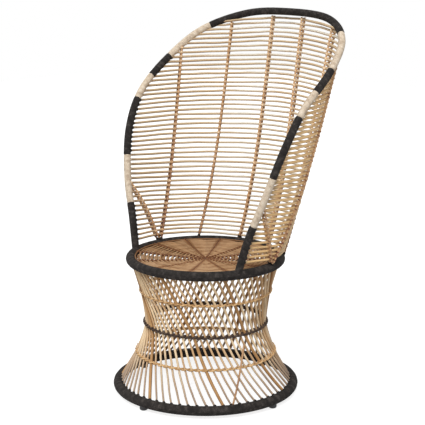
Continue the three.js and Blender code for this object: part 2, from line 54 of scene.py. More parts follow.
def ringOf(node):
    low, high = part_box(node)
    half = (high.z - low.z) / 2
    return {
        "centre": (low + high) / 2,
        "radius": (high.x - low.x) / 2 - half,
        "height": (high.z + low.z) / 2,
        "tube": half / math.cos(math.pi / packedSides),
    }


seatRing = ringOf("seat_ring")
baseRing = ringOf("base_ring")
axisY = seatRing["centre"].y


def around(radius, angle, height):  # the angle runs from the back towards the left, in degrees
    turn = math.radians(angle)
    return Vector((-radius * math.sin(turn), axisY + radius * math.cos(turn), height))


def outAt(angle):
    return around(1, angle, 0) - around(0, angle, 0)


def outwards(point):
    return Vector((point.x, point.y - axisY, 0)).normalized()


def mirrored(points):
    return [Vector((-p.x, p.y, p.z)) for p in points]


def lerp(a, b, share):
    return a + (b - a) * share


def smooth(share):
    share = min(max(share, 0), 1)
    return share * share * (3 - 2 * share)


# A centripetal curve through points, at a share of its spans, as in the part's source
def curvePoint(points, share):
    spans = len(points) - 1
    at = min(max(share, 0), 1) * spans
    i = min(int(at), spans - 1)
    t = at - i
    p1, p2 = points[i], points[i + 1]
    p0 = points[i - 1] if i > 0 else 2 * p1 - p2
    p3 = points[i + 2] if i + 2 <= spans else 2 * p2 - p1
    d0, d1, d2 = (math.sqrt((b - a).length) for a, b in ((p0, p1), (p1, p2), (p2, p3)))
    m1 = ((p1 - p0) / d0 - (p2 - p0) / (d0 + d1) + (p2 - p1) / d1) * d1
    m2 = ((p2 - p1) / d1 - (p3 - p1) / (d1 + d2) + (p3 - p2) / d2) * d1
    return p1 + m1 * t + (3 * (p2 - p1) - 2 * m1 - m2) * t**2 + (2 * (p1 - p2) + m1 + m2) * t**3


wander = {"waves": 3, "heights": (0.5, 1), "rates": (0.7, 1.4)}


class Wander:  # a slow, seeded drift along a cane
    def __init__(self, size, length):
        self.waves = [
            (
                dice.uniform(*wander["heights"]) * size / (k + 1),
                dice.uniform(*wander["rates"]) * (k + 1) / length,
                dice.uniform(0, 1),
            )
            for k in range(wander["waves"])
        ]

    def at(self, place):
        return sum(
            height * math.sin(math.tau * (place * rate + start))
            for height, rate, start in self.waves
        )


class Strands:  # tubes gathered into one mesh, with their length and their round in a UV map
    dome = 0.35  # height of a cut end over its rim, in radii

    def __init__(self):
        self.points, self.faces, self.uvs, self.tones = [], [], [], []
        self.count = 0

    # the side of a tube painted darker as painted shade, given as an angle from the facing one, and
    # by how much
    def add(self, path, facing, radius, sides, tone, closed=False, flat=1.0, weather=(0, 0)):
        path = np.array([tuple(p) for p in path], float)
        steps = len(path)
        if closed:
            ahead = np.roll(path, -1, 0) - np.roll(path, 1, 0)
        else:
            ahead = np.gradient(path, axis=0)
        ahead /= np.linalg.norm(ahead, axis=1)[:, None]
        out = facing if isinstance(facing, list) else [facing] * steps
        out = np.array([tuple(f) for f in out], float)
        out -= (out * ahead).sum(1)[:, None] * ahead
        out /= np.linalg.norm(out, axis=1)[:, None]
        side = np.cross(ahead, out)
        thick = np.array(radius, float)
        thick = np.broadcast_to(thick[:, None] if thick.ndim == 1 else thick, (steps, sides))
        turn = math.tau * np.arange(sides) / sides
        wide = thick * np.cos(turn) * flat
        tall = thick * np.sin(turn)
        skin = path[:, None] + wide[..., None] * out[:, None] + tall[..., None] * side[:, None]
        # painted shade: the tube grows darker towards that side, as if that side lay in shadow
        darker = weather[1] * np.clip(np.cos(turn - math.radians(weather[0])), 0, 1)
        first = self.count
        self.points.append(skin.reshape(-1, 3))
        tones = np.array(tone, float).reshape(-1, 1) + np.tile(darker, (steps, 1))
        self.tones.append(tones.ravel())
        self.count += steps * sides
        legs = np.linalg.norm(np.diff(path, axis=0, append=path[:1]), axis=1)
        along = np.concatenate([[0], np.cumsum(legs)])
        self.cover(steps, sides, first, along, closed)
        if not closed:
            last = first + (steps - 1) * sides
            self.cap(skin[0], path[0], -ahead[0], first, True, 0.0)
            self.cap(skin[-1], path[-1], ahead[-1], last, False, along[steps - 1])

    def cover(self, steps, sides, first, along, closed):  # the faces of a tube's side
        rows = np.arange(steps if closed else steps - 1)
        i, k = (axis.ravel() for axis in np.meshgrid(rows, np.arange(sides), indexing="ij"))
        near, far = first + i * sides, first + (i + 1) % steps * sides
        nextK = (k + 1) % sides
        self.faces.extend(np.stack([near + k, near + nextK, far + nextK, far + k], 1).tolist())
        u = np.stack([along[i], along[i], along[i + 1], along[i + 1]], 1)
        v = np.stack([k, k + 1, k + 1, k], 1) / sides
        self.uvs.append(np.stack([u, v], 2).reshape(-1, 2))

    def cap(self, loop, middle, away, first, start, along):  # a low dome over a cane's cut end
        sides = len(loop)
        tip = self.count
        rise = np.linalg.norm(loop[0] - middle) * self.dome
        self.points.append((middle + away * rise)[None])
        self.tones.append(self.tones[-1][:1])
        self.count += 1
        for k in range(sides):
            a, b = first + k, first + (k + 1) % sides
            self.faces.append([tip, b, a] if start else [tip, a, b])
        self.uvs.append(np.tile([along, 0.5], (3 * sides, 1)))

    def make(self, name, material, *nodes, slot):
        mesh = bpy.data.meshes.new(name)
        mesh.from_pydata(np.concatenate(self.points).tolist(), [], self.faces)
        mesh.uv_layers.new(name="run").data.foreach_set("uv", np.concatenate(self.uvs).ravel())
        tones = mesh.attributes.new("tone", "FLOAT", "POINT")
        tones.data.foreach_set("value", np.concatenate(self.tones))
        mesh.polygons.foreach_set("use_smooth", np.ones(len(mesh.polygons), bool))
        mesh.materials.append(material)
        piece = bpy.data.objects.new(name, mesh)
        bpy.context.scene.collection.objects.link(piece)
        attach(piece, "root")
        if nodes:
            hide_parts(*nodes)


# Materials


class Plug:  # an output that can stand in a sum
    def __init__(self, sheet, socket):
        self.sheet, self.socket = sheet, socket

    def __add__(self, other):
        return self.sheet.maths("ADD", self, other)

    def __sub__(self, other):
        return self.sheet.maths("SUBTRACT", self, other)

    def __rsub__(self, other):
        return self.sheet.maths("SUBTRACT", other, self)

    def __mul__(self, other):
        return self.sheet.maths("MULTIPLY", self, other)

    def __truediv__(self, other):
        return self.sheet.maths("DIVIDE", self, other)

    def __abs__(self):
        return self.sheet.maths("ABSOLUTE", self)


class Sheet:  # one material and its nodes
    def __init__(self, name):
        self.material = bpy.data.materials.new(name)
        self.material.use_nodes = True
        self.tree = self.material.node_tree
        self.surface = self.tree.nodes["Principled BSDF"]

    def node(self, kind, settings, values, output=0):
        made = self.tree.nodes.new("ShaderNode" + kind)
        for key, value in settings.items():
            setattr(made, key, value)
        self.feed(made, values)
        return Plug(self, made.outputs[output])

    def feed(self, node, values):
        for key, value in values.items():
            if isinstance(value, Plug):
                self.tree.links.new(value.socket, node.inputs[key])
            else:
                node.inputs[key].default_value = value

    def maths(self, operation, *terms):
        return self.node("Math", {"operation": operation}, dict(enumerate(terms)))

    def mix(self, share, one, two):  # a colour between two, whose sockets go by number
        return self.node("Mix", {"data_type": "RGBA"}, {0: share, 6: one, 7: two}, 2)

    def ramp(self, value, low, high):  # a value stretched from low..high to 0..1
        values = {"Value": value, "From Min": low, "From Max": high}
        return self.node("MapRange", {"interpolation_type": "SMOOTHSTEP"}, values)

    def tint(self, value, reach, under, over):  # a reach is low, high and the greatest share
        low, high, most = reach
        return self.mix(self.ramp(value, low, high) * most, under, over)

    def noise(self, place, detail, scale=1.0):
        return self.node("TexNoise", {}, {"Vector": place, "Scale": scale, "Detail": detail})

    def run(self):  # along a strand in metres, and round it from 0 to 1
        parts = {"Vector": self.node("UVMap", {"uv_map": "run"}, {})}
        return (self.node("SeparateXYZ", {}, parts, axis) for axis in "XY")

    def tone(self):
        return self.node("Attribute", {"attribute_name": "tone"}, {}, "Fac")

    def objectPlace(self):
        return self.node("TexCoord", {}, {}, "Object")

    def place(self, x, y, z):
        return self.node("CombineXYZ", {}, {0: x, 1: y, 2: z})

    def bump(self, height, strength, distance):
        values = {"Strength": strength, "Distance": distance, "Height": height}
        return self.node("Bump", {}, values)


def linear(level):  # a level as a screen shows it, 0 to 255
    share = level / 255
    return share / 12.92 if level < 10 else ((share + 0.055) / 1.055) ** 2.4


def rgb(*levels):
    return tuple(linear(level) for level in levels) + (1.0,)


# The warmer colour comes with a tone up to 1, and the stain colour with one from 1 to 2; that
# darkest colour serves both for real stains and for painted shade
caneLooks = {
    "rowCane": {
        "pale": rgb(230, 223, 207),
        "warm": rgb(208, 182, 145),
        "stainAndShade": rgb(166, 139, 108),
        "tanned": rgb(243, 200, 138),
    },
    "drumCane": {
        "pale": rgb(238, 211, 172),
        "warm": rgb(208, 169, 124),
        "stainAndShade": rgb(140, 112, 86),
        # greyer towards the floor
        "greyedLow": rgb(162, 143, 127),
    },
    "stakeCane": {
        "pale": rgb(236, 204, 166),
        "warm": rgb(198, 157, 116),
        "stainAndShade": rgb(114, 72, 54),
    },
    "poleCane": {"pale": rgb(194, 152, 102), "warm": rgb(158, 114, 70), "stainAndShade": rgb(94, 62, 38)},
    "bandCane": {"pale": rgb(220, 182, 132), "warm": rgb(188, 148, 100), "stainAndShade": rgb(120, 82, 52)},
    "lashCane": {"pale": rgb(250, 222, 184), "warm": rgb(212, 170, 126), "stainAndShade": rgb(118, 70, 52)},
    "seatCane": {"pale": rgb(188, 152, 114), "warm": rgb(150, 110, 74), "stainAndShade": rgb(94, 56, 32)},
    # the spokes' own darker colour, which also stands as painted shadow along the bends at each
    # spoke
    "spokeCane": {"pale": rgb(122, 76, 46), "warm": rgb(98, 58, 34), "stainAndShade": rgb(70, 38, 22)},
}
grain = {
    "fibres": 7.0,  # round a cane
    "fibreStretch": 55.0,  # changes a metre
    "fibreDetail": 3.0,
    "blotches": 11.0,  # changes a metre
    "blotchDetail": 2.0,
    "toneShift": 37.0,  # keeps strands of unlike tone apart in the noise
    "mottled": 0.9,  # how much the blotches move the ground colour
    "warm": (0.05, 0.95),
    "tanned": (-0.3, 0.7, 0.8),  # by the cosine of the angle from the side that faces out
    "blotched": (0.56, 0.78, 0.55),
    "streaked": (0.5, 0.8, 0.45),
    "greyedLow": (0.2, 0.04, 0.75),  # by the height over the floor
    "roughness": (0.42, 0.24),  # at least, and more by the fibres
    "specular": 0.25,
    "bump": (0.35, 0.00025),
}


def caneMaterial(name):
    look = caneLooks[name]
    sheet = Sheet(name)
    along, turn = sheet.run()
    tone = sheet.tone()
    angle = turn * math.tau
    facing = sheet.maths("COSINE", angle)
    across = grain["fibres"] / 2
    offset = tone * grain["toneShift"]
    y, z = facing * across + offset, sheet.maths("SINE", angle) * across
    fibres = sheet.place(along * grain["fibreStretch"], y, z)
    fibres = sheet.noise(fibres, grain["fibreDetail"])
    blotches = sheet.place(along * grain["blotches"] + offset, offset, 0.0)
    blotches = sheet.noise(blotches, grain["blotchDetail"])
    warmth = tone + (blotches - 0.5) * grain["mottled"]
    colour = sheet.mix(sheet.ramp(warmth, *grain["warm"]), look["pale"], look["warm"])
    if "tanned" in look:
        colour = sheet.tint(facing, grain["tanned"], colour, look["tanned"])
    colour = sheet.tint(blotches, grain["blotched"], colour, look["stainAndShade"])
    colour = sheet.tint(fibres, grain["streaked"], colour, look["stainAndShade"])
    colour = sheet.mix(sheet.ramp(tone, 1.0, 2.0), colour, look["stainAndShade"])
    if "greyedLow" in look:
        height = sheet.node("SeparateXYZ", {}, {"Vector": sheet.objectPlace()}, "Z")
        colour = sheet.tint(height, grain["greyedLow"], colour, look["greyedLow"])
    sheet.feed(
        sheet.surface,
        {
            "Base Color": colour,
            "Roughness": fibres * grain["roughness"][1] + grain["roughness"][0],
            "Specular IOR Level": grain["specular"],
            "Normal": sheet.bump(fibres, *grain["bump"]),
        },
    )
    return sheet.material


cordLooks = {
    "charcoalCord": {"deep": rgb(19, 17, 16), "ground": rgb(48, 44, 42), "fluff": rgb(92, 85, 81)},
    "greigeCord": {
        "deep": rgb(164, 142, 120),
        "ground": rgb(227, 210, 187),
        "fluff": rgb(244, 233, 216),
    },
    "umberCord": {"deep": rgb(38, 28, 24), "ground": rgb(80, 66, 58), "fluff": rgb(140, 120, 104)},
}
twist = {
    "plies": 16,  # of the cord, counted round the pole
    "detail": 3.0,
    "fibreStretch": (1.6, 60.0, 20.0),  # changes a turn of cord, round the pole, and by tone
    "patchStretch": (90.0, 4.0, 9.0),  # changes a metre along the pole, round it, and by tone
    "shadeShares": (0.7, 0.3),  # of the cord's ridge and of its plies
    "shaded": (0.15, 0.75),
    "worn": (0.52, 0.3, 0.55),
    "fluffShares": (0.4, 0.6),  # of the fibres and of the patches
    "fluffy": (0.5, 0.68, 0.6),
    "bumpShares": (0.6, 0.3, 0.25),  # of ridge, plies and fibres
    "roughness": 0.3,  # less by the fibres
    "specular": 0.2,
    "bump": (0.6, 0.0005),
}


def blend(shares, first, *others):
    total = first * shares[0]
    for share, other in zip(shares[1:], others):
        total = total + other * share
    return total


def cordMaterial(name, pitch):
    look = cordLooks[name]
    sheet = Sheet(name)
    along, turn = sheet.run()
    tone = sheet.tone()
    turns = along / pitch
    ridge = abs(sheet.maths("SINE", (turns + turn) * math.pi))
    ply = abs(sheet.maths("SINE", (turn * twist["plies"] + turns * 0.5) * math.pi))
    x, y, z = twist["fibreStretch"]
    fibres = sheet.noise(sheet.place(turns * x, turn * y, tone * z), twist["detail"])
    x, y, z = twist["patchStretch"]
    patches = sheet.noise(sheet.place(along * x, turn * y, tone * z), twist["detail"])
    shade = blend(twist["shadeShares"], ridge, ply)
    fluff = blend(twist["fluffShares"], fibres, patches)
    colour = sheet.mix(sheet.ramp(shade, *twist["shaded"]), look["deep"], look["ground"])
    colour = sheet.tint(patches, twist["worn"], colour, look["deep"])
    colour = sheet.tint(fluff, twist["fluffy"], colour, look["fluff"])
    height = blend(twist["bumpShares"], ridge, ply, fibres)
    sheet.feed(
        sheet.surface,
        {
            "Base Color": colour,
            "Roughness": 1.0 - fibres * twist["roughness"],
            "Specular IOR Level": twist["specular"],
            "Normal": sheet.bump(height, *twist["bump"]),
        },
    )
    return sheet.material


footLook = {
    "deep": rgb(24, 24, 25),
    "ground": rgb(44, 43, 44),
    "speck": 420.0,
    "detail": 3.0,
    "shaded": (0.4, 0.7),
    "roughness": (0.4, 0.3),
    "bump": (0.25, 0.0003),
}


def footMaterial():
    sheet = Sheet("footBlack")
    speck = sheet.noise(sheet.objectPlace(), footLook["detail"], footLook["speck"])
    shade = sheet.ramp(speck, *footLook["shaded"])
    sheet.feed(
        sheet.surface,
        {
            "Base Color": sheet.mix(shade, footLook["deep"], footLook["ground"]),
            "Roughness": speck * footLook["roughness"][1] + footLook["roughness"][0],
            "Normal": sheet.bump(speck, *footLook["bump"]),
        },
    )
    return sheet.material


winding = {  # of cord on the rings and the hoop
    "pitch": 0.0029,
    "depth": 0.00055,
    "stepsPerTurn": 3,
    "sides": 14,
}
cane = {name: caneMaterial(name) for name in caneLooks}
cord = {name: cordMaterial(name, winding["pitch"]) for name in cordLooks}
footBlack = footMaterial()
print("materials made:", len(cane) + len(cord) + 1)


# Skin of cord wound on a pole: one radius for each step along it and each side round it
def woundRadius(radius, steps):
    along = np.arange(steps)[:, None] / winding["stepsPerTurn"]
    turns = along + np.arange(winding["sides"])[None] / winding["sides"]
    return radius - winding["depth"] * (1 - np.abs(np.sin(math.pi * turns)))


# Rings, wound with dark cord that swells round each cane that goes in
ringCord = {
    "tone": 0.3,
    "lumpRise": [-0.004, -0.001, 0.001, 0.0025, 0.0035],
    "lumpRadius": [0.0058, 0.0056, 0.0050, 0.0042, 0.0032],
    "lumpSides": 8,
}


def woundRing(name, ring, node, entries):
    strands = Strands()
    turns = round(math.tau * ring["radius"] / winding["pitch"])
    steps = turns * winding["stepsPerTurn"]
    path = [around(ring["radius"], 360 * i / steps, ring["height"]) for i in range(steps)]
    facing = [outAt(360 * i / steps) for i in range(steps)]
    radius = woundRadius(ring["tube"], steps)
    strands.add(path, facing, radius, winding["sides"], ringCord["tone"], closed=True)
    radius, sides = ringCord["lumpRadius"], ringCord["lumpSides"]
    for end, ahead in entries:
        lump = [end + ahead * rise for rise in ringCord["lumpRise"]]
        strands.add(lump, outwards(end), radius, sides, dice.random())
    strands.make(name, cord["charcoalCord"], node, slot="wrapped_ring")


# Drum of leaning canes
drum = {
    "inset": 0.0025,  # of the canes where they meet the rings
    "waistRadius": 0.185,
    "waistHeight": 0.2225,
    "upperFlare": 1.65,
    "lowerFlare": 1.5,
    "upperTwist": 27.5,  # degrees from the seat ring down to the waist
    "lowerTwist": 23.7,
    "places": 64,
    "poleEvery": 9,
    "poles": 7,
    "firstPole": 161.0,  # its angle at the waist
    "steps": 28,
    "driftLength": 0.2,
    "caneDrift": 0.3,  # degrees
    "poleDrift": 0.12,
    "caneRadius": 0.0034,  # halfway down
    "taper": (0.0037, 0.0031),  # a cane's radius at the seat and at the floor
    "widths": (0.92, 1.08),  # one cane's share of these
    "caneSides": 8,
    "poleRadius": 0.0048,
    "poleSides": 10,
    "weather": (180, 0.85),  # painted shade: the inner side is darker, as the inside of the drum lies in shadow
    "lowDarkening": (0.12, 0.03, 0.8),  # darker from one height down to another, and by how much
    "caneTones": (-0.15, 1.0),
    "poleTones": (0.2, 0.8),
    "darkCane": 17,
    "darkTone": 1.3,
}


def drumRadius(height):
    rise = (height - drum["waistHeight"]) / (seatRing["height"] - drum["waistHeight"])
    fall = (drum["waistHeight"] - height) / (drum["waistHeight"] - baseRing["height"])
    if rise > 0:
        top = seatRing["radius"] - drum["inset"]
        return lerp(drum["waistRadius"], top, rise ** drum["upperFlare"])
    low = baseRing["radius"] - drum["inset"]
    return lerp(drum["waistRadius"], low, max(fall, 0) ** drum["lowerFlare"])


def drumTurn(height):
    over = height - drum["waistHeight"]
    if over > 0:
        return -drum["upperTwist"] * over / (seatRing["height"] - drum["waistHeight"])
    return drum["lowerTwist"] * -over / (drum["waistHeight"] - baseRing["height"])


def drumPath(place, drift):
    start = drum["firstPole"] + place * 360 / drum["places"]
    shares = [i / (drum["steps"] - 1) for i in range(drum["steps"])]
    heights = [lerp(seatRing["height"], baseRing["height"], share) for share in shares]
    return [around(drumRadius(z), start + drumTurn(z) + drift.at(z), z) for z in heights]


# darker towards the floor
def darkenedLow(tone, path):
    start, end, most = drum["lowDarkening"]
    return [tone + most * smooth((start - p.z) / (start - end)) for p in path]


drumPaths = []
canes = Strands()
for place in range(drum["places"]):
    number = place // drum["poleEvery"] + 1
    isPole = place % drum["poleEvery"] == 0 and number <= drum["poles"]
    drift = Wander(drum["poleDrift" if isPole else "caneDrift"], drum["driftLength"])
    path = drumPath(place, drift)
    drumPaths.append(path)
    facing = [outwards(p) for p in path]
    if isPole:
        pole, tone = Strands(), dice.uniform(*drum["poleTones"])
        pole.add(path, facing, drum["poleRadius"], drum["poleSides"], tone, weather=drum["weather"])
        pole.make(f"basePole{number}", cane["poleCane"], f"base_pole_{number}", slot="cane_golden")
    else:
        width = np.linspace(*drum["taper"], drum["steps"]) * dice.uniform(*drum["widths"])
        isDark = place == drum["darkCane"]
        tone = darkenedLow(drum["darkTone"] if isDark else dice.uniform(*drum["caneTones"]), path)
        canes.add(path, facing, width, drum["caneSides"], tone, weather=drum["weather"])
canes.make("drumCanes", cane["drumCane"], "base_lattice", slot="cane_natural")
print("drum canes placed:", len(drumPaths))


def entry(ring, end, inner):  # where a cane leaves a ring, and which way it goes
    ahead = (inner - end).normalized()
    return end + ahead * ring["tube"], ahead


woundRing("seatRing", seatRing, "seat_ring", [entry(seatRing, p[0], p[1]) for p in drumPaths])
woundRing("baseRing", baseRing, "base_ring", [entry(baseRing, p[-1], p[-2]) for p in drumPaths])

# Bands twined round the drum: two plies that change sides between every two canes
bands = {
    "waistBand": {
        "height": 0.2222,
        "ply": 0.0038,
        "rise": 0.0026,
        "material": cord["umberCord"],
        "slot": "wrapped_ring",
        "nodes": ("waist_band_outer", "waist_band_inner"),
    },
    "upperBand": {
        "height": 0.3246,
        "ply": 0.0026,
        "rise": 0.0020,
        "material": cane["bandCane"],
        "slot": "cane_golden",
        "nodes": ("upper_band_outer", "upper_band_inner"),
    },
    "lowerBand": {
        "height": 0.1295,
        "ply": 0.0027,
        "rise": 0.0018,
        "material": cane["bandCane"],
        "slot": "cane_natural",
        "nodes": (),
    },
}
twining = {"stepsPerCane": 6, "sides": 7, "tones": (0.2, 0.7)}
for name, band in bands.items():
    strands = Strands()
    steps = drum["places"] * twining["stepsPerCane"]
    start = drum["firstPole"] + drumTurn(band["height"])
    for ply, tone in enumerate(twining["tones"]):
        path, facing = [], []
        for i in range(steps):
            phase = math.pi * (i / twining["stepsPerCane"] + ply)
            angle = start + 360 * i / steps
            reach = (drum["caneRadius"] + band["ply"]) * math.cos(phase)
            height = band["height"] + band["rise"] * math.sin(phase)
            path.append(around(drumRadius(band["height"]) + reach, angle, height))
            facing.append(outAt(angle))
        strands.add(path, facing, band["ply"], twining["sides"], tone, closed=True)
    strands.make(name, band["material"], *band["nodes"], slot=band["slot"])
print("bands twined:", len(bands))

# A loose golden strip that leans the other way over the front canes
strip = {
    "angles": (-101.6, -119.9),
    "heights": (0.190, 0.0385),
    "radius": 0.0030,
    "steps": 24,
    "sides": 7,
    "tone": 1.25,
}
stripPath = []
for i in range(strip["steps"]):
    share = i / (strip["steps"] - 1)
    height = lerp(*strip["heights"], share)
    reach = drumRadius(height) + drum["caneRadius"] + strip["radius"]
    stripPath.append(around(reach, lerp(*strip["angles"], share), height))
looseStrip = Strands()
facing = [outwards(p) for p in stripPath]
looseStrip.add(stripPath, facing, strip["radius"], strip["sides"], strip["tone"])
looseStrip.make("looseStrip", cane["stakeCane"], slot="cane_golden")

# Feet
foot = {
    "angles": {"back": 0, "left": 90, "front": 180, "right": 270},
    "rise": [0.0020, 0.0026, 0.0044, 0.0080, 0.0130, 0.0180],
    "radius": [0.0052, 0.0092, 0.0118, 0.0127, 0.0124, 0.0114],
    "sides": 20,
    "tone": 0.5,
}
for side, angle in foot["angles"].items():
    knob = Strands()
    path = [around(baseRing["radius"], angle, z) for z in foot["rise"]]
    knob.add(path, outAt(angle), foot["radius"], foot["sides"], foot["tone"])
    knob.make("foot" + side.capitalize(), footBlack, "foot_" + side, slot="foot")
print("rings and feet wound")

# Seat: spokes and one pair of canes twined round them from the rim to the hub
seat = {
    "spokes": 12,
    "spokeRadius": 0.0028,
    "spokeRise": 0.0016,  # of a spoke's middle over the middle of the weave
    "spokeEnd": 0.004,  # how far it goes into the ring
    "spokeSteps": 8,
    "spokeSides": 8,
    "spokeTones": (0.3, 0.9),
    "hubRadius": 0.006,  # where the weave ends
    "rise": 0.010,  # top of the weave over the middle of the ring, at its edge
    "dip": 0.011,  # of its middle under its edge
    "caneRadius": 0.0026,
    "caneSides": 6,
    "pitch": 0.0128,
    "rimStep": 0.7,  # from the cane at the edge to the middle of the first turn, in radii
    "stepsPerSpoke": 8,
    "lift": 0.0022,  # how far a cane swings over and under at a spoke
    "tone": 0.4,
    "drift": (0.3, 3.0),  # of the tone, with its length in turns
    "pinch": 0.0035,  # length of the dark bend at a spoke
    # how much darker the canes are at a spoke: partly their stain, partly painted shadow of the
    # bend
    "bendShadeTone": 1.3,
    "edgeRadius": 0.0022,
    "edgeInset": 0.6,  # in radii
    "edgeLift": 0.7,
    "edgeStep": 3,  # degrees
    "edgeSides": 7,
    "edgeTone": 1.3,
}
edgeRise = seat["rise"] - seat["caneRadius"] - seat["lift"]
innerRing = seatRing["radius"] - math.sqrt(seatRing["tube"] ** 2 - edgeRise**2)


def weaveHeight(radius):
    return seatRing["height"] + edgeRise - seat["dip"] * (1 - (radius / innerRing) ** 2)


spokes = Strands()
for i in range(seat["spokes"]):
    angle = 360 * i / seat["spokes"]
    shares = [s / seat["spokeSteps"] for s in range(seat["spokeSteps"] + 1)]
    reaches = [lerp(0, innerRing + seat["spokeEnd"], share) for share in shares]
    path = [around(reach, angle, weaveHeight(reach) + seat["spokeRise"]) for reach in reaches]
    tone = dice.uniform(*seat["spokeTones"])
    spokes.add(path, up, seat["spokeRadius"], seat["spokeSides"], tone)
spokes.make("seatSpokes", cane["spokeCane"], "seat_spokes", slot="cane_golden")

weave = Strands()
rim = innerRing - seat["edgeRadius"] - seat["caneRadius"] * seat["rimStep"]
turns = (rim - seat["hubRadius"]) / seat["pitch"]
stepCount = int(turns * seat["spokes"] * seat["stepsPerSpoke"])
halfSpan = math.pi / seat["spokes"]
for ply in (0, 1):
    path, tones = [], []
    drift = Wander(*seat["drift"])
    for i in range(stepCount):
        spans = i / seat["stepsPerSpoke"]
        turn = spans / seat["spokes"]
        within = (spans % 1 - 0.5) * 2 * halfSpan  # the angle from the middle of the sector
        radius = rim - seat["pitch"] * turn
        fromSpoke = radius * (halfSpan - abs(within))
        phase = math.pi * (spans + ply)
        reach = radius + seat["caneRadius"] * math.sin(phase)
        height = weaveHeight(reach) + seat["lift"] * math.cos(phase)
        path.append(around(reach, -360 * turn, height))
        ground = min(max(seat["tone"] + drift.at(turn), 0), 1)
        # darker at each spoke: partly stain, partly painted shadow of the bend
        tones.append(ground + seat["bendShadeTone"] * math.exp(-((fromSpoke / seat["pinch"]) ** 2)))
    weave.add(path, up, seat["caneRadius"], seat["caneSides"], tones)
weave.make("seatWeave", cane["seatCane"], "seat_winding", slot="cane_natural")

edge = Strands()
angles = range(0, 360, seat["edgeStep"])
reach = innerRing - seat["edgeRadius"] * seat["edgeInset"]
height = weaveHeight(reach) + seat["edgeRadius"] * seat["edgeLift"]
path, facing = [around(reach, a, height) for a in angles], [outAt(a) for a in angles]
edge.add(path, facing, seat["edgeRadius"], seat["edgeSides"], seat["edgeTone"], closed=True)
edge.make("seatEdge", cane["seatCane"], slot="cane_natural")
print("seat woven, turns:", round(turns, 1))

# Hoop
hoop = {
    "poleRadius": 0.0086,
    "poleSides": 10,
    "poleStep": 0.012,
    "poleTone": 0.5,
    "wrapRadius": {"charcoalCord": 0.0117, "greigeCord": 0.0111},
    "drawnIn": (0.0012, 1.5),  # a stripe's ends: by how much, over how many turns
    "halfWidth": 0.335,
    "reach": 0.3785,
    "topHeight": 1.1575,
    "footAngle": 113.4,
    # from above its foot to its top: shares of half width, reach and height over the seat
    "shares": [
        (0.716, -0.208, 0.142),
        (0.839, -0.151, 0.302),
        (0.95, -0.034, 0.504),
        (0.993, 0.145, 0.655),
        (0.988, 0.475, 0.792),
        (0.858, 0.773, 0.908),
        (0.508, 0.991, 0.981),
        (0, 1, 1),
    ],
    "stripes": [0.172, 0.308, 0.477, 0.556, 0.632, 0.778],  # colour changes along half of it
    "measured": 400,  # steps to measure a stretch of it by
    "swellRise": [-0.005, -0.001, 0.0022, 0.0042],
    "swellRadius": [0.0061, 0.0059, 0.0053, 0.0043],
    "swellSides": 8,
}
seatToTop = hoop["topHeight"] - seatRing["height"]
hoopLeft = [around(seatRing["radius"], hoop["footAngle"], seatRing["height"])]
for x, y, z in hoop["shares"]:
    height = seatRing["height"] + z * seatToTop
    hoopLeft.append(Vector((-x * hoop["halfWidth"], axisY + y * hoop["reach"], height)))
hoopCurve = hoopLeft + mirrored(hoopLeft)[-2::-1]


def hoopAt(share):  # from 0 at the left foot over 1 at the top to 2 at the right foot
    return curvePoint(hoopCurve, share / 2)


hoopSlope = hoopAt(1) - hoopAt(0)
hoopFacing = Vector((0, -hoopSlope.z, hoopSlope.y)).normalized()


def evenPath(first, last, step):  # points of the hoop a step apart
    count = hoop["measured"]
    fine = [hoopAt(lerp(first, last, i / count)) for i in range(count + 1)]
    lengths = np.cumsum([0] + [(b - a).length for a, b in zip(fine, fine[1:])])
    stops = np.linspace(0, lengths[-1], max(int(lengths[-1] / step), 2) + 1)
    return [hoopAt(s) for s in np.interp(stops, lengths, np.linspace(first, last, count + 1))]


stripeEnds = [0] + hoop["stripes"] + [2 - s for s in reversed(hoop["stripes"])] + [2]
hoopPole = Strands()
path = evenPath(0, 2, hoop["poleStep"])
hoopPole.add(path, hoopFacing, hoop["poleRadius"], hoop["poleSides"], hoop["poleTone"])
hoopPole.make("hoopPole", cane["poleCane"], "hoop_pole", slot="cane_golden")

# Shell of level canes on lashed stakes
shell = {
    "rows": 48,
    "firstBack": 0.0255,  # over the middle of the seat ring
    "firstFront": 0.034,
    "lastBackDrop": 0.023,  # under the top of the hoop
    "lastFrontDrop": 0.041,
    "bulge": 0.021,
    "skew": 0.5,  # how much fuller the bulge is low down than high up
    "dip": 0.015,  # the canes hang lower towards the back than where they meet the hoop
    "dipRows": ([-1.6, 0, 3, 9, 14, 18, 22, 27, 31], [0, 0.4, 0.8, 1, 1, 0.7, 0.4, 0.05, 0]),
    "dipShares": (np.linspace(0, 1, 8), [-0.3, 0.83, 1, 0.82, 0.56, 0.42, 0.6, -0.45]),
    "stepsPerBay": 9,
    "sag": (0.0008, 0.3),  # a drift's size, and its length as a share of the cane
    "sway": (0.0006, 0.25),
    "caneRadius": 0.0035,
    "widths": (0.93, 1.08),  # one cane's share of this
    "thicken": ([0, 0.2, 0.3, 0.68, 0.8, 1], [1.12, 1.06, 1.02, 1.02, 1.18, 1.26]),  # along a cane
    "thickenRows": 8,  # from the seat up to where it does so in full
    "sides": 8,
    "weather": (-110, 0.95),  # painted shade: the lower side is darker, as the underside lies in shadow
    # tone along a row from its left end to its right: palest near 0.38, where the wall faces the
    # light, as painted light; browner towards both ends
    "tones": ([0, 0.14, 0.21, 0.38, 0.5, 0.7, 1], [1.2, 1.0, 0.75, 0.2, 0.4, 0.6, 0.9]),
    "toneSpread": 0.2,
    "toneDrift": (0.22, 0.4),
    "darkEnds": (0.93, 0.05, 0.8),  # from where towards the hoop, over what share, by how much
}
